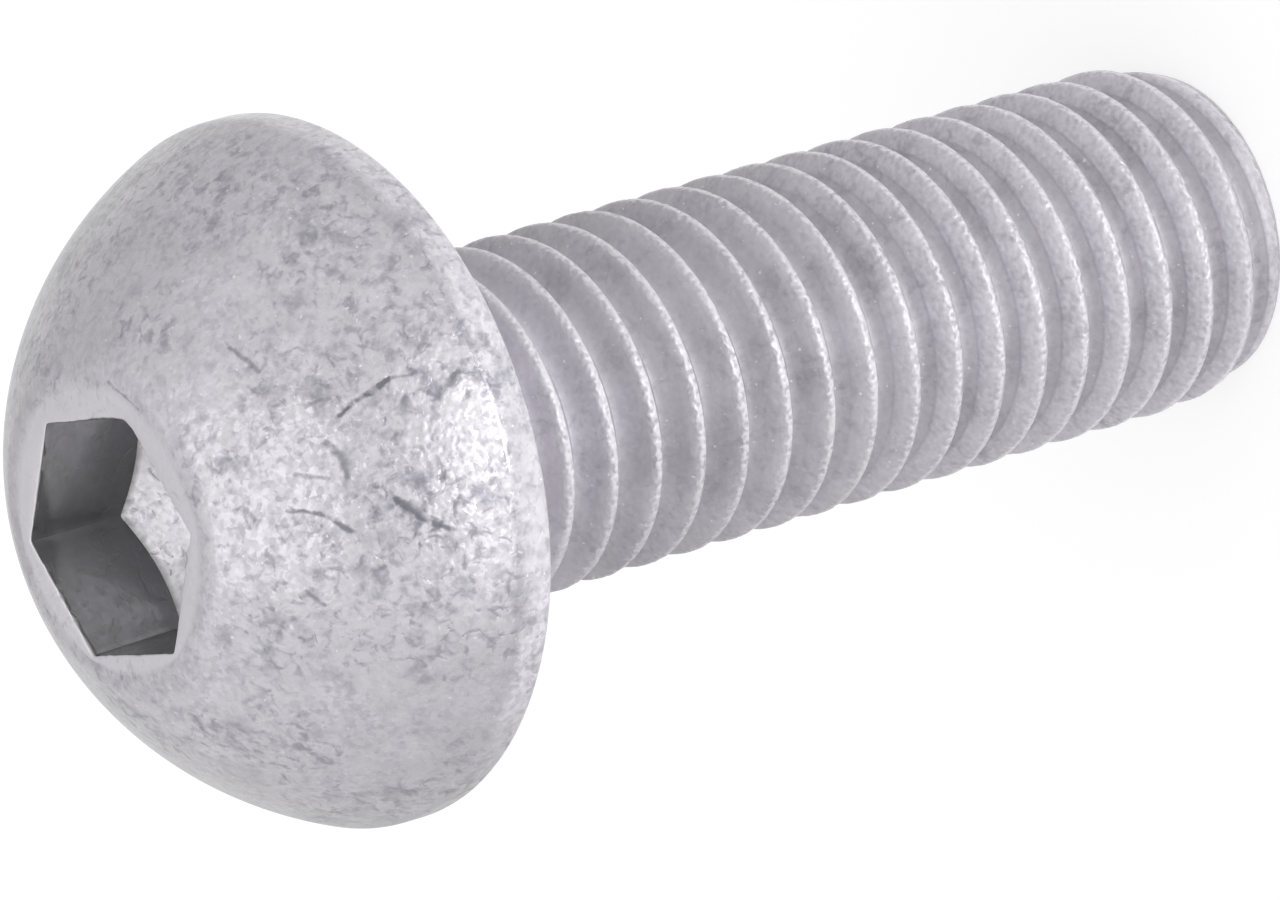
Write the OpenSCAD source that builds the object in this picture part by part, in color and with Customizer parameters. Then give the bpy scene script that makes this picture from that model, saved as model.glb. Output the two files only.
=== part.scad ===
// Hexagon socket pan head bolt, M8 x 1.25, 25 mm under the head, forged and rolled from one bar.
// +Z runs along the axis from the tip to the head. The origin is on the axis, in the plane of the
// head's bearing face. All sizes are in millimetres.

/* [Thread] */
// Outside diameter of the thread
thread_d = 8; // [7:0.1:11]
// Distance from one turn of the thread to the next
pitch = 1.25; // [1:0.05:1.75]
// Angle between the two flanks of a groove
flank_angle = 60; // [50:1:70]
// Angle round the axis at which the thread starts, from +X
start_angle = 174; // [0:1:360]
// Turns over which the thread grows out of the neck
run_in_turns = 1; // [0.5:0.25:2]

/* [Shank] */
// Length under the head
shank_length = 25; // [16:1:60]
// Length of the plain neck between the head and the thread
neck_length = 1.6; // [0.8:0.1:4]
// Radius of the fillet between the neck and the head
neck_fillet = 0.4; // [0.1:0.05:0.7]
// Height of the taper at the tip
point_height = 1.4; // [0.6:0.1:2.5]
// How far the taper at the tip draws in from the thread's outside, on the radius
point_draw = 0.42; // [0.1:0.02:0.6]

/* [Head] */
// Diameter of the head
head_d = 16; // [14:0.5:22]
// Height of the head over its bearing face
head_height = 6; // [5:0.1:9]
// Height of the straight rim over the bearing face
rim_height = 0.85; // [0.4:0.05:2]
// Radius that breaks the rim's lower edge
rim_round = 0.2; // [0.05:0.05:0.35]
// Radius of the dome's arc, between the rim and the flat top
dome_r = 9.4; // [7:0.1:20]
// Width of the flat top outside the socket's corners
land_width = 0.65; // [0.3:0.05:1.5]
// Radius of the blend between the flat top and the dome
land_round = 1; // [0.2:0.1:2]

/* [Socket] */
// Distance between opposite flats of the hexagon
socket_across = 5.1; // [4:0.05:6]
// Depth of the hexagon's corners
socket_depth = 2.5; // [1.5:0.1:3]
// Angle of the cone that the punch leaves at the bottom
socket_cone_angle = 120; // [100:5:150]

/* [Hidden] */

$fn = 96;
HEX_SIDES = 6;
// Flat steps in one turn of the thread
turn_steps = 40;
// What a cutter reaches past the surface it opens
overcut = 0.04;

// The thread's section: a sharp triangle cut back by an eighth at the crest and a quarter at the root
thread_r = thread_d / 2;
sharp_height = pitch / (2 * tan(flank_angle / 2));
root_width = pitch / 4;
root_r = thread_r - sharp_height * 5 / 8;
neck_r = thread_r - sharp_height * 3 / 8;
groove_half_width = root_width / 2 + (thread_r - root_r) * tan(flank_angle / 2);
thread_top = -neck_length;
run_in_height = run_in_turns * pitch;

// The socket
socket_corner_r = socket_across / 2 / cos(30);
socket_cone_rise = tan(90 - socket_cone_angle / 2);
socket_apex_z = head_height - socket_depth - socket_corner_r * socket_cone_rise;

// The dome's arc passes through the rim's upper edge and the edge of the flat top
land_r = socket_corner_r + land_width;
rim_edge = [head_d / 2, rim_height];
land_edge = [land_r, head_height];
dome_chord = land_edge - rim_edge;
dome_out = [dome_chord.y, -dome_chord.x] / norm(dome_chord);
dome_centre = (rim_edge + land_edge) / 2 - dome_out * sqrt(dome_r ^ 2 - norm(dome_chord) ^ 2 / 4);

// The blend touches the flat top and, from inside, the dome's arc
blend_z = head_height - land_round;
blend_reach = sqrt((dome_r - land_round) ^ 2 - (blend_z - dome_centre.y) ^ 2);
blend_centre = [dome_centre.x + blend_reach, blend_z];
blend_on_dome = dome_centre + (blend_centre - dome_centre) * dome_r / (dome_r - land_round);

// One section of the groove, at a number of turns past the thread's start. Its root starts just
// outside the neck and comes down to its full depth over the run-in.
function groove_section(turns) =
    let(
        run_in = max(0, 1 - turns / run_in_turns),
        low = root_r + (neck_r - root_r + overcut) * run_in,
        high = thread_r + overcut,
        half_low = root_width / 2,
        half_high = half_low + (high - low) * tan(flank_angle / 2),
        angle = start_angle - 360 * turns,
        z = thread_top - groove_half_width - pitch * turns,
        out = [cos(angle), sin(angle)]
    )
    [
        for (corner = [[low, half_low], [high, half_high], [high, -half_high], [low, -half_low]])
            [corner.x * out.x, corner.x * out.y, z + corner.y]
    ];

// The helical groove as a cutter, from the thread's start until it has left the tip
module thread_groove() {
    turns = (shank_length - neck_length) / pitch + 1;
    steps = ceil(turns * turn_steps);
    points = [for (i = [0 : steps]) each groove_section(i / turn_steps)];
    sides = [
        for (i = [0 : steps - 1], k = [0 : 3])
            let(a = 4 * i + k, b = 4 * i + (k + 1) % 4)
            each [[a, b, b + 4], [a, b + 4, a + 4]]
    ];
    first_end = [3, 2, 1, 0];
    last_end = [for (k = [0 : 3]) 4 * steps + k];
    polyhedron(points, concat([first_end], sides, [last_end]), convexity = 10);
}

// Half section of the shank before its thread, from inside the head down to the tip
module shank_section() {
    inside_head = rim_height / 2;
    polygon([
        [0, inside_head],
        [neck_r, inside_head],
        [neck_r, thread_top],
        [thread_r, thread_top - run_in_height],
        [thread_r, point_height - shank_length],
        [thread_r - point_draw, -shank_length],
        [0, -shank_length]
    ]);
    difference() {
        translate([neck_r - overcut, -neck_fillet]) square([neck_fillet + overcut, neck_fillet + overcut]);
        translate([neck_r + neck_fillet, -neck_fillet]) circle(r = neck_fillet);
    }
}

// Half section of the head: the straight rim, the dome over it and the flat top
module head_section() {
    difference() {
        union() {
            square([head_d / 2, rim_height]);
            intersection() {
                translate(dome_centre) circle(r = dome_r);
                square([head_d / 2, head_height]);
            }
        }
        // the rim's lower edge
        difference() {
            translate([head_d / 2 - rim_round, -overcut]) square([rim_round + overcut, rim_round + overcut]);
            translate([head_d / 2 - rim_round, rim_round]) circle(r = rim_round);
        }
        // the edge of the flat top
        difference() {
            polygon([
                [blend_centre.x, head_height],
                [blend_centre.x, head_height + overcut],
                [blend_on_dome.x + land_round, head_height + overcut],
                blend_on_dome
            ]);
            translate(blend_centre) circle(r = land_round);
        }
    }
}

// The hexagonal hole for the key, with the punch's cone at its bottom
module socket() {
    reach = socket_corner_r + 1;
    top = head_height + 1;
    intersection() {
        rotate(30)
            translate([0, 0, socket_apex_z - 1])
                cylinder(r = socket_corner_r, h = top - socket_apex_z + 1, $fn = HEX_SIDES);
        rotate_extrude()
            polygon([
                [0, socket_apex_z],
                [reach, socket_apex_z + reach * socket_cone_rise],
                [reach, top],
                [0, top]
            ]);
    }
}

module bolt() {
    color("silver")
        difference() {
            union() {
                rotate_extrude() head_section();
                rotate_extrude() shank_section();
            }
            socket();
            thread_groove();
        }
}

bolt();
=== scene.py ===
"""A hexagon socket pan head bolt, M8 x 1.25 x 25, standing on its tip."""

import bmesh
import bpy
import numpy as np
from mathutils import Matrix, Vector


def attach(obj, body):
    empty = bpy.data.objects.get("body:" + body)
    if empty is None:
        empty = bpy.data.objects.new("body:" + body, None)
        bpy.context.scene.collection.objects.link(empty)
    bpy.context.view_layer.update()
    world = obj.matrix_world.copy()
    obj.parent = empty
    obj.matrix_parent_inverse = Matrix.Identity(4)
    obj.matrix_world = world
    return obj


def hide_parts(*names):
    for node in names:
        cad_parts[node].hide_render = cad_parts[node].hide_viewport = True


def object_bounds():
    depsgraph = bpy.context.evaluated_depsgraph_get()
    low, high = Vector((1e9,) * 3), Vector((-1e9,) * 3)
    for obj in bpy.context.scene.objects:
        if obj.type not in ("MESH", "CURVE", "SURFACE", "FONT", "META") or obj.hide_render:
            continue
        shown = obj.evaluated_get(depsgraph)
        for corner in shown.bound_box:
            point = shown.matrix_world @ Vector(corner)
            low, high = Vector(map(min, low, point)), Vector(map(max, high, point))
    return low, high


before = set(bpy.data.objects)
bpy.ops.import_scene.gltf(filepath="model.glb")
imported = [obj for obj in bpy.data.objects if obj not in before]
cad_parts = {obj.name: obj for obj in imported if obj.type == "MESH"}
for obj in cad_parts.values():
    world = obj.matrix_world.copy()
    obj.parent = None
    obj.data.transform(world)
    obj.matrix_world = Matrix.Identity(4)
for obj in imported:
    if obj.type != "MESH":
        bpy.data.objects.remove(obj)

cad_low, cad_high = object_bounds()


# ---------------------------------------------------------------- camera
# A long lens looks down on the head from the side. It is rolled, so that the bolt, which stands on
# its tip, lies across the picture with its head low on the left and its tip high on the right.
MM = 0.001
PICTURE_WIDTH, PICTURE_HEIGHT = 1280, 900
SENSOR_WIDTH = 36.0
ELEVATION = 36.6                    # of the camera above the bearing face, in degrees
TURN = 8.1                          # of the camera round the axis, from -Y, in degrees
ROLL = np.radians(16.17)            # of the axis above the picture's horizontal
PIXELS_PER_MM = 45.47               # at the middle of the bearing face
ORIGIN_PIXEL = (325.2, 470.3)       # where that middle lies in the picture
DISTANCE = 332 * MM
NEAREST, FARTHEST = 10 * MM, 10.0   # that the camera shows


def direction(heading, elevation):
    """A unit vector. The heading counts from -Y towards +X, and the elevation from level, in degrees."""
    heading, elevation = np.radians((heading, elevation))
    across = np.cos(elevation)
    return Vector((np.sin(heading) * across, -np.cos(heading) * across, np.sin(elevation)))


toward_camera = direction(TURN, ELEVATION)
level = Vector((0, 0, 1)).cross(toward_camera).normalized()
upright = toward_camera.cross(level)
picture_right = level * -np.sin(ROLL) - upright * np.cos(ROLL)
picture_up = toward_camera.cross(picture_right)
pixel = MM / PIXELS_PER_MM
place = (toward_camera * DISTANCE
         - picture_right * (ORIGIN_PIXEL[0] - PICTURE_WIDTH / 2) * pixel
         + picture_up * (ORIGIN_PIXEL[1] - PICTURE_HEIGHT / 2) * pixel)

camera_data = bpy.data.cameras.new("camera")
camera_data.sensor_width = SENSOR_WIDTH
camera_data.lens = SENSOR_WIDTH * DISTANCE / (pixel * PICTURE_WIDTH)
camera_data.clip_start, camera_data.clip_end = NEAREST, FARTHEST
camera = bpy.data.objects.new("camera", camera_data)
camera_axes = Matrix((picture_right, picture_up, toward_camera)).transposed().to_4x4()
camera.matrix_world = Matrix.Translation(place) @ camera_axes
bpy.context.scene.collection.objects.link(camera)
bpy.context.scene.camera = camera
bpy.context.scene.view_settings.view_transform = "Standard"


# ---------------------------------------------------------------- floor, room and lamps
# A white table in a pale room, with a hazy window in front of the bolt and darker stretches of wall
# behind it and on its left. A small lamp stands low before the window, and a broad one hangs above.
class Signal:
    """A socket of a node tree. Arithmetic on signals adds Math nodes to that tree."""

    def __init__(self, tree, socket):
        self.tree, self.socket = tree, socket

    def node(self, kind, settings=(), output=0, **values):
        """Adds a node: its settings first, then a value or a link for each socket, by name or as in0, in1."""
        made = self.tree.nodes.new(kind)
        for name, value in dict(settings).items():
            setattr(made, name, value)
        for name, value in values.items():
            numbered = name.startswith("in") and name[2:].isdigit()
            socket = made.inputs[int(name[2:]) if numbered else name.replace("_", " ")]
            if isinstance(value, Signal):
                self.tree.links.new(value.socket, socket)
            else:
                socket.default_value = value
        return Signal(self.tree, made.outputs[output])

    def math(self, operation, first, second):
        return self.node("ShaderNodeMath", {"operation": operation}, in0=first, in1=second)

    def __add__(self, other):
        return self.math("ADD", self, other)

    def __mul__(self, other):
        return self.math("MULTIPLY", self, other)

    def __sub__(self, other):
        return self.math("SUBTRACT", self, other)

    def __rsub__(self, other):
        return self.math("SUBTRACT", other, self)

    __radd__, __rmul__ = __add__, __mul__

    def vector(self, operation, other, output="Vector"):
        """Vector Math of this signal and another vector."""
        return self.node("ShaderNodeVectorMath", {"operation": operation}, output=output, in0=self, in1=other)

    def distance(self, other):
        return self.vector("DISTANCE", other, output="Value")

    def step(self, low, high):
        """0 below low, 1 above high and a smooth rise between. With low above high it falls."""
        return self.node("ShaderNodeMapRange", {"interpolation_type": "SMOOTHSTEP"},
                         Value=self, From_Min=low, From_Max=high)

    def blend(self, first, second):
        """The first colour where this signal is 0, and the second where it is 1."""
        return self.node("ShaderNodeMix", {"data_type": "RGBA"}, output=2, in0=self, in6=first, in7=second)

    def into(self, other):
        self.tree.links.new(self.socket, other.socket)


def new_material(name):
    """A material with only an output node, and that node's surface as a signal."""
    material = bpy.data.materials.new(name)
    material.use_nodes = True
    material.node_tree.nodes.clear()
    output = material.node_tree.nodes.new("ShaderNodeOutputMaterial")
    return material, Signal(material.node_tree, output.inputs["Surface"])


# a REACH is the distance from a middle at which its light or shade has gone, then that at which it is full
FLOOR_HALF = 1.5
FLOOR_LEVEL = cad_low.z + 0.01 * MM  # a hair above the tip's end, so that the two never share a plane
FLOOR_GREY = (0.5, 0.5, 0.5, 1)
FLOOR_GLOW = 0.58                   # lifts the grey to white where no shadow falls
MIRRORED_GLOW = 0.22                # of the table in a reflection
POOL_GLOW = 0.72                    # of the light that the window throws on the table before the bolt
POOL_MIDDLE = (0.0, -0.045, cad_low.z)
POOL_REACH = (0.11, 0.01)
SHADE_DEPTH = 0.25                  # of the bolt's own shade on the table, behind it on the left
SHADE_MIDDLE = (-0.030, 0.020, cad_low.z)
SHADE_REACH = (0.045, 0.01)
floor_material, floor_surface = new_material("white_table")
camera_ray, glossy_ray, glass_ray = (floor_surface.node("ShaderNodeLightPath", output=name) for name in (
    "Is Camera Ray", "Is Glossy Ray", "Is Transmission Ray"))
on_table = floor_surface.node("ShaderNodeTexCoord", output="Object")
pool = on_table.distance(POOL_MIDDLE).step(*POOL_REACH)
shade = on_table.distance(SHADE_MIDDLE).step(*SHADE_REACH)
mirrored = pool * POOL_GLOW + MIRRORED_GLOW - shade * SHADE_DEPTH
glow = camera_ray * FLOOR_GLOW + (glossy_ray + glass_ray) * mirrored
lamp_like = floor_surface.node("ShaderNodeEmission", Strength=glow)
paint = floor_surface.node("ShaderNodeBsdfDiffuse", Color=FLOOR_GREY)
floor_surface.node("ShaderNodeAddShader", in0=lamp_like, in1=paint).into(floor_surface)
floor_mesh = bpy.data.meshes.new("table")
floor_corners = np.array([(-1, -1), (1, -1), (1, 1), (-1, 1)]) * FLOOR_HALF
floor_mesh.from_pydata([(x, y, FLOOR_LEVEL) for x, y in floor_corners], [], [(0, 1, 2, 3)])
floor_mesh.materials.append(floor_material)
floor = bpy.data.objects.new("table", floor_mesh)
bpy.context.scene.collection.objects.link(floor)

ROOM_WHITE = (1, 1, 1, 1)
ROOM_GLOW = 0.88
CURTAIN = (0.36, 0.88, 0.42)        # the middle of a darker stretch of the far wall
CURTAIN_DEPTH = 0.28
CURTAIN_REACH = (1.4, 0.3)
SIDE_CURTAIN = (-0.99, 0.09, 0.0)   # the middle of another one, low on the left
SIDE_DEPTH = 0.14
SIDE_REACH = (0.9, 0.2)
WINDOW = (-0.10, -0.99, 0.08)       # the middle of a hazy window, low in front
WINDOW_GLOW = 1.3
WINDOW_REACH = (0.95, 0.05)
FLATTENING = (1, 1, 1.8)            # makes all three wider than they are high
room = bpy.data.worlds.new("room")
room.use_nodes = True
bpy.context.scene.world = room
room_background = Signal(room.node_tree, room.node_tree.nodes["Background"].inputs["Strength"])
room_path = room_background.node("ShaderNodeLightPath", output="Is Camera Ray")
on_wall = room_background.node("ShaderNodeTexCoord", output="Generated").vector("MULTIPLY", FLATTENING)
lit = on_wall.distance(WINDOW).step(*WINDOW_REACH) * WINDOW_GLOW + ROOM_GLOW
lit = lit - on_wall.distance(CURTAIN).step(*CURTAIN_REACH) * CURTAIN_DEPTH
lit = lit - on_wall.distance(SIDE_CURTAIN).step(*SIDE_REACH) * SIDE_DEPTH
(room_path * (1 - lit) + lit).into(room_background)
room.node_tree.nodes["Background"].inputs["Color"].default_value = ROOM_WHITE


def soft_lamp(name, radiance, width, height, heading, elevation, distance):
    """A rectangular lamp, aimed at the middle of the bearing face. Its angles are as in direction()."""
    data = bpy.data.lights.new(name, "AREA")
    data.shape, data.size, data.size_y = "RECTANGLE", width, height
    data.energy = radiance * np.pi * width * height
    lamp = bpy.data.objects.new(name, data)
    toward = direction(heading, elevation)
    lamp.location = toward * distance
    lamp.rotation_mode = "QUATERNION"
    lamp.rotation_quaternion = toward.to_track_quat("Z", "Y")
    bpy.context.scene.collection.objects.link(lamp)


soft_lamp("low_window", radiance=4.5, width=0.060, height=0.016, heading=5, elevation=-7, distance=0.13)
soft_lamp("ceiling", radiance=0.4, width=0.45, height=0.35, heading=-8, elevation=72, distance=0.4)


# ---------------------------------------------------------------- bolt
# One piece of steel: the head and its socket are forged, the thread is rolled, and the whole is
# coated with dull grey zinc. Rings round the axis form the mesh, and follow the helix in the thread.
THREAD_RADIUS = 4.0 * MM
PITCH = 1.25 * MM
FLANK_RUN = np.tan(np.radians(30))  # how far a flank runs along the axis for each step outwards
START_ANGLE = np.radians(174)       # where the thread starts, round the axis
NECK_LENGTH = 1.6 * MM
NECK_FILLET = 0.4 * MM
LENGTH = 25.0 * MM
POINT_HEIGHT = 1.4 * MM
POINT_DRAW = 0.42 * MM              # how far the taper draws the tip in
POINT_ROUND = 0.12 * MM
HEAD_RADIUS = 8.0 * MM
HEAD_HEIGHT = 6.0 * MM
RIM_HEIGHT = 0.85 * MM
RIM_FOOT_ROUND = 0.2 * MM
RIM_EDGE_ROUND = 1.05 * MM
DOME_RADIUS = 9.4 * MM
LAND_WIDTH = 0.65 * MM
LAND_ROUND = 1.0 * MM
SOCKET_HALF = 2.55 * MM
SOCKET_DEPTH = 2.5 * MM
SOCKET_CONE_RISE = np.tan(np.radians(30))  # for each step outwards
HEAD_OFFSET = (0.08 * MM, 0.0)      # the forging dies stand this far off the thread's axis
SOCKET_OFFSET = (-0.14 * MM, 0.04 * MM)
SOCKET_DRAFT = 1.022                # how much wider the mouth is than the foot of the walls
COLUMNS = 240

sharp_height = PITCH / 2 / FLANK_RUN
root_radius = THREAD_RADIUS - sharp_height * 5 / 8
neck_radius = THREAD_RADIUS - sharp_height * 3 / 8
groove_half_width = PITCH / 8 + (THREAD_RADIUS - root_radius) * FLANK_RUN
socket_corner = SOCKET_HALF / np.cos(np.radians(30))
chance = np.random.default_rng(8)
turn = np.linspace(0, 1, COLUMNS + 1)
angles = START_ANGLE - 2 * np.pi * turn
around = np.ones_like(turn)


def uneven(along, per_turn, turns=24):
    """A random wave of height about 1 along a helix or a ring: chance values, joined by straight lines."""
    knots = chance.normal(size=int(turns * per_turn) + 2)
    return np.interp((along * per_turn) % (turns * per_turn), np.arange(len(knots)), knots)


def bell(middle, spread):
    """A bell curve over the columns: 1 at an angle round the axis, and less to both sides, in degrees."""
    return np.exp(-(((np.degrees(angles) - middle + 180) % 360 - 180) / spread) ** 2)


def arc(centre, radius, first, last, count):
    """Points (r, z) on a circle's arc from one angle to another, in degrees."""
    angle = np.radians(np.linspace(first, last, count))
    return np.stack([centre[0] + radius * np.cos(angle), centre[1] + radius * np.sin(angle)], -1)


def degrees_of(centre, point):
    """The angle at which a point lies from a centre, in degrees."""
    return np.degrees(np.arctan2(point[1] - centre[1], point[0] - centre[0]))


BLEND_ROWS, DOME_ROWS, EDGE_ROWS, FOOT_ROWS, FILLET_ROWS = 7, 36, 6, 6, 6


def head_outline():
    """Points (r, z) from the flat top, over the dome and the rim, to the plain neck.

    The dome is one arc through the rim's upper edge and the edge of the flat top. The blend's
    circle touches the flat top and the dome's arc; the rim's circle touches that arc and the wall.
    """
    rim_edge = np.array([HEAD_RADIUS, RIM_HEIGHT])
    land_edge = np.array([socket_corner + LAND_WIDTH, HEAD_HEIGHT])
    chord = land_edge - rim_edge
    outwards = np.array([chord[1], -chord[0]]) / np.hypot(*chord)
    dome = (rim_edge + land_edge) / 2 - outwards * np.sqrt(DOME_RADIUS ** 2 - chord @ chord / 4)
    blend_z = HEAD_HEIGHT - LAND_ROUND
    blend_r = dome[0] + np.sqrt((DOME_RADIUS - LAND_ROUND) ** 2 - (blend_z - dome[1]) ** 2)
    blend = np.array([blend_r, blend_z])
    edge_r = HEAD_RADIUS - RIM_EDGE_ROUND
    edge_z = dome[1] + np.sqrt((DOME_RADIUS - RIM_EDGE_ROUND) ** 2 - (edge_r - dome[0]) ** 2)
    edge = np.array([edge_r, edge_z])
    foot = (HEAD_RADIUS - RIM_FOOT_ROUND, RIM_FOOT_ROUND)
    fillet = (neck_radius + NECK_FILLET, -NECK_FILLET)
    return np.concatenate([
        arc(blend, LAND_ROUND, 90, degrees_of(dome, blend), BLEND_ROWS),
        arc(dome, DOME_RADIUS, degrees_of(dome, blend), degrees_of(dome, edge), DOME_ROWS)[1:],
        arc(edge, RIM_EDGE_ROUND, degrees_of(dome, edge), 0, EDGE_ROWS)[1:],
        arc(foot, RIM_FOOT_ROUND, 0, -90, FOOT_ROWS),
        arc(fillet, NECK_FILLET, 90, 180, FILLET_ROWS),
    ])


def dome_height(r):
    """The dome's height over the bearing face at a distance from the axis, in millimetres."""
    outline = head_outline()[:BLEND_ROWS + DOME_ROWS - 1] / MM
    return float(np.interp(r, outline[:, 0], outline[:, 1]))


# where the rows lie: shares of the cone's radius, of the wall's height and of the land's width, and
# angles along the rolled edge
CONE_SHARES = (0, 0.15, 0.35, 0.6, 0.8, 0.96)
WALL_SHARES = (0.02, 0.08, 0.35, 0.7, 0.97, 1.0)
ROLL_ANGLES = (22.5, 45, 67.5, 90)
LAND_SHARES = (0.3, 0.65)
CORNER_POWER = 150                  # of the cosines: the higher, the sharper the hexagon's corners
WORN_CORNER_POWER = 20              # at the mouth of the corner that is most worn
WORN_CORNER = (-30, 20)             # its angle round the axis and its spread, in degrees
CHIPS = 0.006                       # how deep the mouth's edge is chipped all round, in mm
CHIPS_PER_TURN = 110
DEEP_CHIPS, CHIPPED_SIDE = 0.02, (120, 28)  # what is added on one side, and that side's angle and spread
EDGE_ROLL = 0.05                    # how far the mouth's edge is rolled outwards, in mm
ROLL_WAVES, WAVES_PER_TURN = 0.01, 80
DEEP_ROLL, ROLLED_SIDE = 0.12, (-8, 22)  # what is added over one flat, and its angle and spread


def socket_rows():
    """Rows (r, z) from the middle of the cone, up the hexagon's wall and over the mouth's edge.

    The hexagon is a sum of high powers of the cosines to its six flats, which rounds its corners a
    little. The mouth's edge is rolled outwards, most of all over the flat that faces +X.
    """
    to_flats = np.cos(angles[:, None] - np.radians(np.arange(0, 360, 60)))
    mouth_power = CORNER_POWER - (CORNER_POWER - WORN_CORNER_POWER) * bell(*WORN_CORNER)
    wall, mouth = (SOCKET_HALF / (np.clip(to_flats, 0, 1) ** power[:, None]).sum(1) ** (1 / power)
                   for power in (CORNER_POWER * around, mouth_power))
    mouth = mouth * SOCKET_DRAFT
    chips = (CHIPS + DEEP_CHIPS * bell(*CHIPPED_SIDE)) * uneven(turn, CHIPS_PER_TURN, 1) * MM
    waves = ROLL_WAVES * uneven(turn, WAVES_PER_TURN, 1)
    roll = (EDGE_ROLL + DEEP_ROLL * bell(*ROLLED_SIDE) + waves) * MM
    apex = HEAD_HEIGHT - SOCKET_DEPTH - socket_corner * SOCKET_CONE_RISE
    foot, top = apex + wall * SOCKET_CONE_RISE, HEAD_HEIGHT - roll
    land = head_outline()[0, 0]
    rows = [(wall * share, apex + wall * share * SOCKET_CONE_RISE) for share in CONE_SHARES]
    rows += [(wall + (mouth - wall) * share ** 2, foot + (top - foot) * share) for share in WALL_SHARES]
    rows += [(mouth + roll * (1 - np.cos(a)) + chips * np.sin(2 * a), top + roll * np.sin(a))
             for a in np.radians(ROLL_ANGLES)]
    rows += [(mouth + roll + (land - mouth - roll) * share, HEAD_HEIGHT * around) for share in LAND_SHARES]
    return rows


def soft_min(first, second, width):
    """The lesser of two lengths, with the corner between them rounded over a width."""
    near = np.maximum(width - np.abs(first - second), 0) / width
    return np.minimum(first, second) - near * near * width / 4


# the thread's section, in pitches along the axis from a groove's middle
SECTION_START, SECTION_END = -7 / 16, 9 / 16
CREST_WIDTH = 0.09
LEAST_ROOT = 0.02
PALE_BAND_WIDTH = 0.175                # of the paler band on the flank below the crest: partly rubbed zinc, partly painted light
CREST_MARK_START = 0.25             # how far before the section's end the crest's mark begins
CREST_MARK_RISE = 0.14              # and over how much it rises to 1
FULL_FROM, FULL_OVER = 5.0, 7.0     # turns until the thread starts to be fuller, and until it is
SHOULDER = 0.22                     # how wide the crest's lower shoulder is rounded, in mm
FULL_SHOULDER = 0.04                # and what is added where the thread is full
UPPER_EDGE = 0.015                  # how wide the crest's other edge is rounded, in mm
GROOVE_ROUND = 0.10 * MM
ROOT_ROUND = 0.36 * MM
START_LIFT = 0.1 * MM               # how far outside the neck the groove's root starts
POINT_OVERRUN = 1.2                 # how far the point's taper is followed, as a share of its height
DENT_DEPTH = 0.011 * MM
DENTS_PER_TURN = 150
DENT_WAVES = 4                      # different waves of dents, which neighbouring rows take in turn
DENTED_ROWS = (0, 12, 13, 14, 15)   # those on the crest


def thread_rows():
    """Rows (r, z) that follow the helix from the neck to the tip, and how much of each is crest and is in the
    paler band.

    Along the axis the section is a groove's upper flank, its round root, its lower flank, a rounded
    shoulder and the flat crest. Each row keeps its place in that section while it goes round, so it
    sinks one pitch in a turn and ends where the same row of the next groove starts. The shoulder grows
    towards the tip, where the rolled thread is fuller and its paler band is partly rubbed, partly painted
    light.
    """
    rows, crests, rubs = [], [], []
    grooves = np.arange(-1, int(LENGTH / PITCH))
    dents = [np.abs(uneven(grooves[:, None] + turn + 1, DENTS_PER_TURN)) for _ in range(DENT_WAVES)]
    flank = (THREAD_RADIUS - root_radius) / MM * FLANK_RUN / (PITCH / MM)
    upper = SECTION_START * around
    for groove in grooves:
        along = turn + groove
        full = np.clip((along - FULL_FROM) / FULL_OVER, 0, 1)
        full = full * full * (3 - 2 * full)
        shoulder = SHOULDER + FULL_SHOULDER * full
        half = shoulder * FLANK_RUN / (PITCH / MM)
        lower = SECTION_END - CREST_WIDTH - half
        foot_upper = upper + flank
        foot_lower = np.maximum(lower - flank, foot_upper + LEAST_ROOT)
        middle = (foot_upper + foot_lower) / 2
        band = lower - PALE_BAND_WIDTH
        # the rows lie closest together where the section bends
        places = [
            upper - 0.012, upper + 0.012, upper + 0.05, foot_upper - 0.03, (foot_upper + middle) / 2, middle,
            (foot_lower + middle) / 2, foot_lower + 0.03, band - 0.02, band + 0.01, lower - half,
            lower - half * 0.45, lower + half * 0.1, lower + half * 0.6, lower + half,
            (lower + half + SECTION_END) / 2,
        ]
        for number, at in enumerate(places):
            z = -NECK_LENGTH - groove_half_width - PITCH * (along + at)
            outside = neck_radius + (THREAD_RADIUS - neck_radius) * np.clip((-NECK_LENGTH - z) / PITCH, 0, 1)
            pointed = np.clip((POINT_HEIGHT - LENGTH - z) / POINT_HEIGHT, 0, POINT_OVERRUN)
            outside = outside - POINT_DRAW * pointed
            low = root_radius + (neck_radius - root_radius + START_LIFT) * np.clip(1 - along, 0, 1)
            upper_flank = THREAD_RADIUS - (at - upper) * PITCH / FLANK_RUN
            lower_flank = THREAD_RADIUS - (lower - at) * PITCH / FLANK_RUN
            cut = -soft_min(-upper_flank, -lower_flank, GROOVE_ROUND)
            cut = -soft_min(-cut, -low, ROOT_ROUND)
            # before the thread's start there is no groove
            cut = np.where(along < 0, THREAD_RADIUS + MM, cut)
            rounding = np.where(at > middle, shoulder, UPPER_EDGE) * MM
            dent = dents[number % DENT_WAVES][groove + 1] * (DENT_DEPTH if number in DENTED_ROWS else 0)
            rows.append((soft_min(outside - dent, cut, rounding), z))
            crest_mark = np.clip((at - SECTION_END + CREST_MARK_START) / CREST_MARK_RISE, 0, 1)
            crests.append(crest_mark + (at < upper))
            # the paler band below the crest: partly rubbed zinc, partly painted light
            rubs.append((at > band) * full)
    return rows, crests, rubs


POINT_ANGLES = (0, 30, 60, 90)      # of the rows on the tip's rounded edge
END_SHARES = (0.85, 0.4, 0)         # of the radius, at which the rows on the flat end lie
LAND_SHIFTS = (0.7, 0.35)           # how far the two rows of the flat top follow the socket's offset
CONE_PAINTED_LIGHT = 0.7                 # painted light: how pale the cone in the socket's foot is painted, against 1 at the socket's mouth


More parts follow.
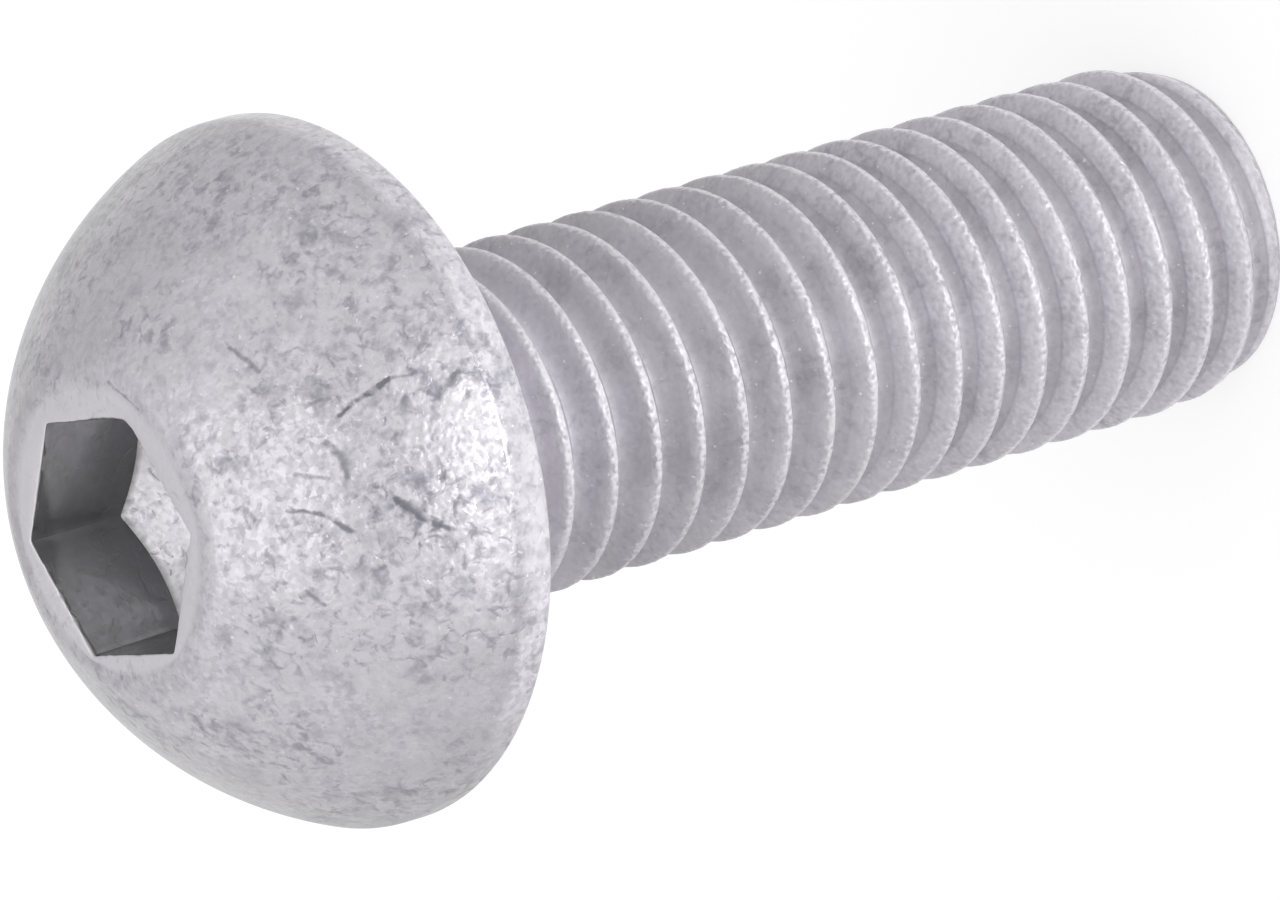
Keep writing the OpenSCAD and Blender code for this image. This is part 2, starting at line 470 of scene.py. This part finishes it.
def bolt_rings():
    """All rows from the socket to the middle of the tip: r, z, offsets from the axis and the marks, which
    carry the coat's finish and also painted light and shade.
    """
    inner = socket_rows()
    head = [(around * r, around * z) for r, z in head_outline()]
    top, bottom = -NECK_LENGTH, POINT_ROUND - LENGTH
    threads, crests, rubs = thread_rows()
    r, z = (np.stack([row[part] for row in threads]) for part in (0, 1))
    # rows beyond either end of the thread are gathered on its two end rings
    tip = np.array([np.interp(-bottom, -z[:, i], r[:, i]) for i in range(COLUMNS + 1)])
    r = np.where(z > top, neck_radius, np.where(z < bottom, tip, r))
    z = np.clip(z, bottom, top)
    point = [(tip - POINT_ROUND * (1 - np.cos(a)), around * (bottom - POINT_ROUND * np.sin(a)))
             for a in np.radians(POINT_ANGLES)]
    point += [((tip - POINT_ROUND) * share, around * -LENGTH) for share in END_SHARES]
    rows = inner + head + [(around * neck_radius, around * top)] + list(zip(r, z)) + point
    radius, height = (np.stack([row[part] for row in rows]) for part in (0, 1))

    cone_end = len(CONE_SHARES)
    wall_end = cone_end + len(WALL_SHARES)
    head_end = len(inner) + len(head)
    thread = slice(head_end + 1, head_end + 1 + len(threads))
    marks = {name: np.zeros_like(radius) for name in ("crest", "rub", "socket", "forged", "mouth")}
    marks["crest"][thread] = crests
    marks["rub"][thread] = rubs
    # the socket's walls, which are painted dark as painted shade
    marks["socket"][cone_end:wall_end + 1] = 1
    marks["forged"][:head_end - FILLET_ROWS] = 1
    marks["mouth"][wall_end + 1:len(inner)] = 1
    # the cone is painted paler: painted light
    marks["mouth"][:cone_end] = CONE_PAINTED_LIGHT

    with_socket, with_head = np.zeros((2, len(rows), 1))
    with_socket[:len(inner), 0] = 1
    with_socket[len(inner) - len(LAND_SHARES):len(inner), 0] = LAND_SHIFTS
    with_head[:head_end + 1, 0] = 1
    offset = np.array([HEAD_OFFSET]) * (with_head - with_socket) + np.array([SOCKET_OFFSET]) * with_socket
    offset *= np.clip(height[:, :1] / RIM_HEIGHT + 1, 0, 1)
    return radius, height, offset, marks


MERGED, DEGENERATE = 0.0005 * MM, 0.0002 * MM
SHARP_ANGLE = np.radians(40)
radius, height, offset, marks = bolt_rings()
x, y = radius * np.cos(angles) + offset[:, :1], radius * np.sin(angles) + offset[:, 1:]
points = np.stack([x, y, height], -1)
first = (np.arange(len(radius) - 1)[:, None] * (COLUMNS + 1) + np.arange(COLUMNS)).ravel()
faces = np.stack([first, first + 1, first + COLUMNS + 2, first + COLUMNS + 1], -1)

bolt_mesh = bpy.data.meshes.new("zinc_bolt")
bolt_mesh.from_pydata(points.reshape(-1, 3).tolist(), [], faces.tolist())
for name, values in marks.items():
    attribute = bolt_mesh.attributes.new(name, "FLOAT", "POINT")
    attribute.data.foreach_set("value", values.ravel().astype(np.float32))
shaping = bmesh.new()
shaping.from_mesh(bolt_mesh)
bmesh.ops.remove_doubles(shaping, verts=shaping.verts, dist=MERGED)
bmesh.ops.dissolve_degenerate(shaping, edges=shaping.edges, dist=DEGENERATE)
shaping.to_mesh(bolt_mesh)
shaping.free()
bolt_mesh.set_sharp_from_angle(angle=SHARP_ANGLE)
bolt = bpy.data.objects.new("zinc_bolt", bolt_mesh)
bpy.context.scene.collection.objects.link(bolt)

DEEP_GREY = (0.23, 0.225, 0.275, 1)
DARK_ZINC = (0.386, 0.376, 0.402, 1)
PALE_ZINC = (0.69, 0.665, 0.72, 1)
WARM_ZINC = (0.595, 0.568, 0.605, 1)
# the palest zinc: for painted glints, for the paler socket mouth, and for painted light on the cone
PALEST_ZINC = (0.90, 0.885, 0.915, 1)
# a painted highlight for the crest line
CREST_PAINTED_HIGHLIGHT = (0.66, 0.645, 0.68, 1)
SCRATCH_GREY = (0.12, 0.12, 0.15, 1)
# painted shade for the socket's walls, where little light reaches
SOCKET_PAINTED_SHADE = (0.29, 0.29, 0.30, 1)
METALLIC = 0.9
PLAIN_TONE = 0.46                   # of the thread's flanks, from DARK_ZINC at 0 to PALE_ZINC at 1
PLAIN_ROUGHNESS = 0.62
PLAIN_GLOSS = 0.12                  # the share of the clear layer on the thread's flanks
GLOSS_ROUGHNESS, GLOSS_IOR = 0.08, 2.0  # of the thin clear layer over the zinc
RELIEF = 0.04 * MM
# scratches on the dome, seen from above, in mm: half the width, the strength, then the places on the way
SCRATCHES = [
    (0.045, 1.1, (1.9, -6.1), (2.4, -6.7)),
    (0.03, 0.6, (2.4, -6.7), (2.5, -7.0)),
    (0.045, 0.9, (-0.1, -6.8), (-0.6, -7.0), (-1.0, -7.3)),
    (0.045, 0.8, (0.1, -5.2), (0.0, -5.5), (-0.1, -5.7)),
    (0.045, 0.8, (0.0, -5.5), (-0.2, -5.8), (-0.6, -6.1)),
    (0.035, 0.5, (0.8, -5.4), (0.6, -5.9)),
    (0.05, 0.6, (1.4, -5.9), (1.1, -6.1), (0.6, -6.2)),
    (0.025, 0.4, (1.5, -5.5), (1.6, -5.6), (1.5, -5.9)),
    (0.05, 0.6, (2.5, -7.5), (2.1, -7.4), (1.8, -7.3)),
    (0.035, 0.4, (1.8, -7.3), (1.0, -7.3)),
    (0.04, 0.5, (0.3, -7.4), (0.0, -7.4), (0.1, -7.6)),
    (0.04, 0.4, (2.2, -5.6), (2.3, -5.8)),
    (0.03, 0.5, (3.3, -1.1), (2.7, -2.0)),
    (0.03, 0.5, (3.8, -3.9), (3.1, -4.7)),
    (0.035, 0.5, (-1.7, -5.1), (-2.1, -5.2)),
]
SCRATCH_WANDER = 0.1                # how far a scratch strays from its line to either side, in mm
SCRATCH_FRAY = 0.08                 # how uneven its edges are, in mm
SCRATCH_EDGES = (1.9, 0.3)          # at how many halves of its width it has gone, and is full
SCUFFED_MIDDLE = (0.9, -6.6, 3.0)   # of the most scuffed part of the dome, in mm
SCUFFED_REACH = (4.2, 1.2)
PAINTED_LIGHT_UNDER_HEAD = (-6.0, -3.2)           # heights between which the shank is painted paler towards the head, as painted light where the head shades it, in mm
FLATTENED = (1, 1, 0.2)             # how much of each coordinate counts where a scratch is looked for
SHIFT = (31.0, 17.0, 5.0)           # moves a second set of grains away from the first, in mm

coat, coat_surface = new_material("zinc_coat")
place_mm = coat_surface.node("ShaderNodeTexCoord", output="Object")
place_mm = place_mm.node("ShaderNodeVectorMath", {"operation": "SCALE"}, in0=place_mm, Scale=1 / MM)
shifted = place_mm.vector("ADD", SHIFT)


def grain(at, scale, detail, roughness=0.5, distortion=0.0, output=0):
    """Noise with this many grains to a millimetre, from 0 to 1 and mostly near a half."""
    return at.node("ShaderNodeTexNoise", output=output, Vector=at, Scale=scale, Detail=detail,
                   Roughness=roughness, Distortion=distortion)


def mark(name):
    """A mark that was stored with the mesh: 1 where the surface has it, 0 elsewhere."""
    return coat_surface.node("ShaderNodeAttribute", {"attribute_name": name}, output="Fac")


def scratch(start, end, half_width):
    """1 in a scratch: the distance to a straight line between two places, measured on wandering ground."""
    start, end = (Vector((x, y, dome_height(np.hypot(x, y)) * FLATTENED[2])) for x, y in (start, end))
    run = end - start
    from_start = wander.vector("SUBTRACT", start)
    share = from_start.vector("DOT_PRODUCT", run / run.length_squared, output="Value")
    share = share.node("ShaderNodeClamp", Value=share)
    nearest = share.node("ShaderNodeVectorMath", {"operation": "SCALE"}, in0=run, Scale=share)
    gap = from_start.distance(nearest) + (specks - 0.5) * SCRATCH_FRAY
    return gap.step(*(half_width * edge for edge in SCRATCH_EDGES))


crest, rub, socket, forged, mouth = (mark(name) for name in ("crest", "rub", "socket", "forged", "mouth"))
clouds = grain(place_mm, 0.7, 1)
blots = grain(place_mm, 1.7, 3, 0.65)
specks = grain(place_mm, 4.8, 2, 0.6)
fine = grain(place_mm, 8.0, 0)
patches = grain(shifted, 0.45, 1)
dots = grain(shifted, 3.2, 2, 0.6, 0.6)
hairs = grain(shifted, 1.5, 1.5, distortion=0.4)
glints = grain(shifted, 9.0, 0)
warmth = grain(shifted, 0.5, 1)
cells = shifted.node("ShaderNodeTexVoronoi", output="Color", Vector=shifted, Scale=8.0)
cells = cells.node("ShaderNodeSeparateColor", output="Red", Color=cells)

# the ground that scratches are measured on strays by a noise to both sides of where it is
stray = grain(place_mm, 1.6, 2, output="Color")
flat = place_mm.vector("MULTIPLY", FLATTENED)
wander = stray.node("ShaderNodeVectorMath", {"operation": "MULTIPLY_ADD"}, in0=stray,
                    in1=(2 * SCRATCH_WANDER, 2 * SCRATCH_WANDER, 0), in2=flat)
wander = wander.vector("SUBTRACT", (SCRATCH_WANDER, SCRATCH_WANDER, 0))
scratches = 0.0
for half_width, strength, *places in SCRATCHES:
    for start, end in zip(places, places[1:]):
        drawn = scratch(start, end, half_width) * strength
        scratches = drawn.math("MAXIMUM", drawn, scratches)
scratches = scratches * (dots.step(0.32, 0.50) * 0.6 + 0.4)

# blots, dots and fine cracks gather in clusters, and are strongest where the coat is busy: on the
# forged head, most of all on its scuffed part, and least in and round the socket
cluster = patches.step(0.40, 0.60) * 0.65 + 0.4
blotted = blots.step(0.45, 0.75) * cluster
spotted = dots.step(0.48, 0.74) * cluster
cracks = hairs.node("ShaderNodeMath", {"operation": "ABSOLUTE"}, in0=hairs - 0.5).step(0.06, 0.008)
cracks = cracks * dots.step(0.42, 0.60) * cluster
worn_lines = (cracks * forged * 0.5).step(0.0, 1.0)
scuffed = place_mm.distance(SCUFFED_MIDDLE).step(*SCUFFED_REACH)
busy = forged * 0.7 - mouth * 0.65 - socket * 0.5 + scuffed * 0.6 + 0.3

# the zinc's mottled tone comes first, and each mark is laid over it in turn
axial = place_mm.node("ShaderNodeSeparateXYZ", output="Z", Vector=place_mm)
# painted light: the shank is painted paler just under the head, which shades it
painted_light_under_head = axial.step(*PAINTED_LIGHT_UNDER_HEAD) * (1 - forged)
mottle = (clouds - 0.5) * 0.5 + (specks - 0.5) * 0.5 * busy + (cells - 0.5) * 0.3 * busy
tone = (mottle + forged * 0.20 + painted_light_under_head * 0.3 + PLAIN_TONE).step(0.0, 1.0).blend(DARK_ZINC, PALE_ZINC)
tone = (warmth.step(0.4, 0.6) * 0.5).blend(tone, WARM_ZINC)
tone = (blotted * busy * 0.6).blend(tone, DEEP_GREY)
tone = (spotted * busy * 0.62).blend(tone, DEEP_GREY)
# painted glints: rare bright grains
tone = (glints.step(0.80, 0.86) * 0.6).blend(tone, PALEST_ZINC)
tone = (worn_lines * 0.7).blend(tone, DEEP_GREY)
tone = (scratches * 1.15).blend(tone, SCRATCH_GREY)
# the paler band below the crest, towards the tip: partly rubbed zinc, partly painted light
tone = (rub * (0.5 - 0.5 * blotted + (fine - 0.5) * 0.8 + (specks - 0.5) * 0.8)).blend(tone, PALE_ZINC)
# painted highlight: the crest line is painted paler, and it is also smoother
smooth_crest_painted_highlight = (crest + (specks - 0.5) * 0.5 + (fine - 0.5) * 1.3 + (cells - 0.5) * 0.2).step(0.64, 1.04)
tone = (smooth_crest_painted_highlight * 0.9).blend(tone, CREST_PAINTED_HIGHLIGHT)
# the socket's mouth and the flat top beside it are paler, and the cone in its foot is painted light
tone = (mouth * 0.35).blend(tone, PALEST_ZINC)
# painted shade: the socket's walls are painted dark grey
tone = socket.blend(tone, SOCKET_PAINTED_SHADE)

rough = PLAIN_ROUGHNESS - forged * 0.24 - 0.2 * (specks - 0.5) - (cells - 0.5) * 0.3 * busy
rough = rough + 0.1 * spotted + 0.15 * worn_lines - 0.2 * smooth_crest_painted_highlight
relief = specks * (busy * 0.22 + crest * 0.5 + rub * 0.2) + fine * (busy * 0.25 + crest * 0.9 + rub * 0.35)
relief = relief + blots * busy * 0.2 - worn_lines * 0.4
bump = relief.node("ShaderNodeBump", Strength=1.0, Distance=RELIEF, Height=relief)
gloss = forged * 0.75 + crest * 0.25 + PLAIN_GLOSS
coat_surface.node("ShaderNodeBsdfPrincipled", Base_Color=tone, Metallic=METALLIC, Roughness=rough, Normal=bump,
                  Coat_Weight=gloss, Coat_Roughness=GLOSS_ROUGHNESS, Coat_IOR=GLOSS_IOR).into(coat_surface)
bolt_mesh.materials.append(coat)

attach(bolt, "root")
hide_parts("bolt")
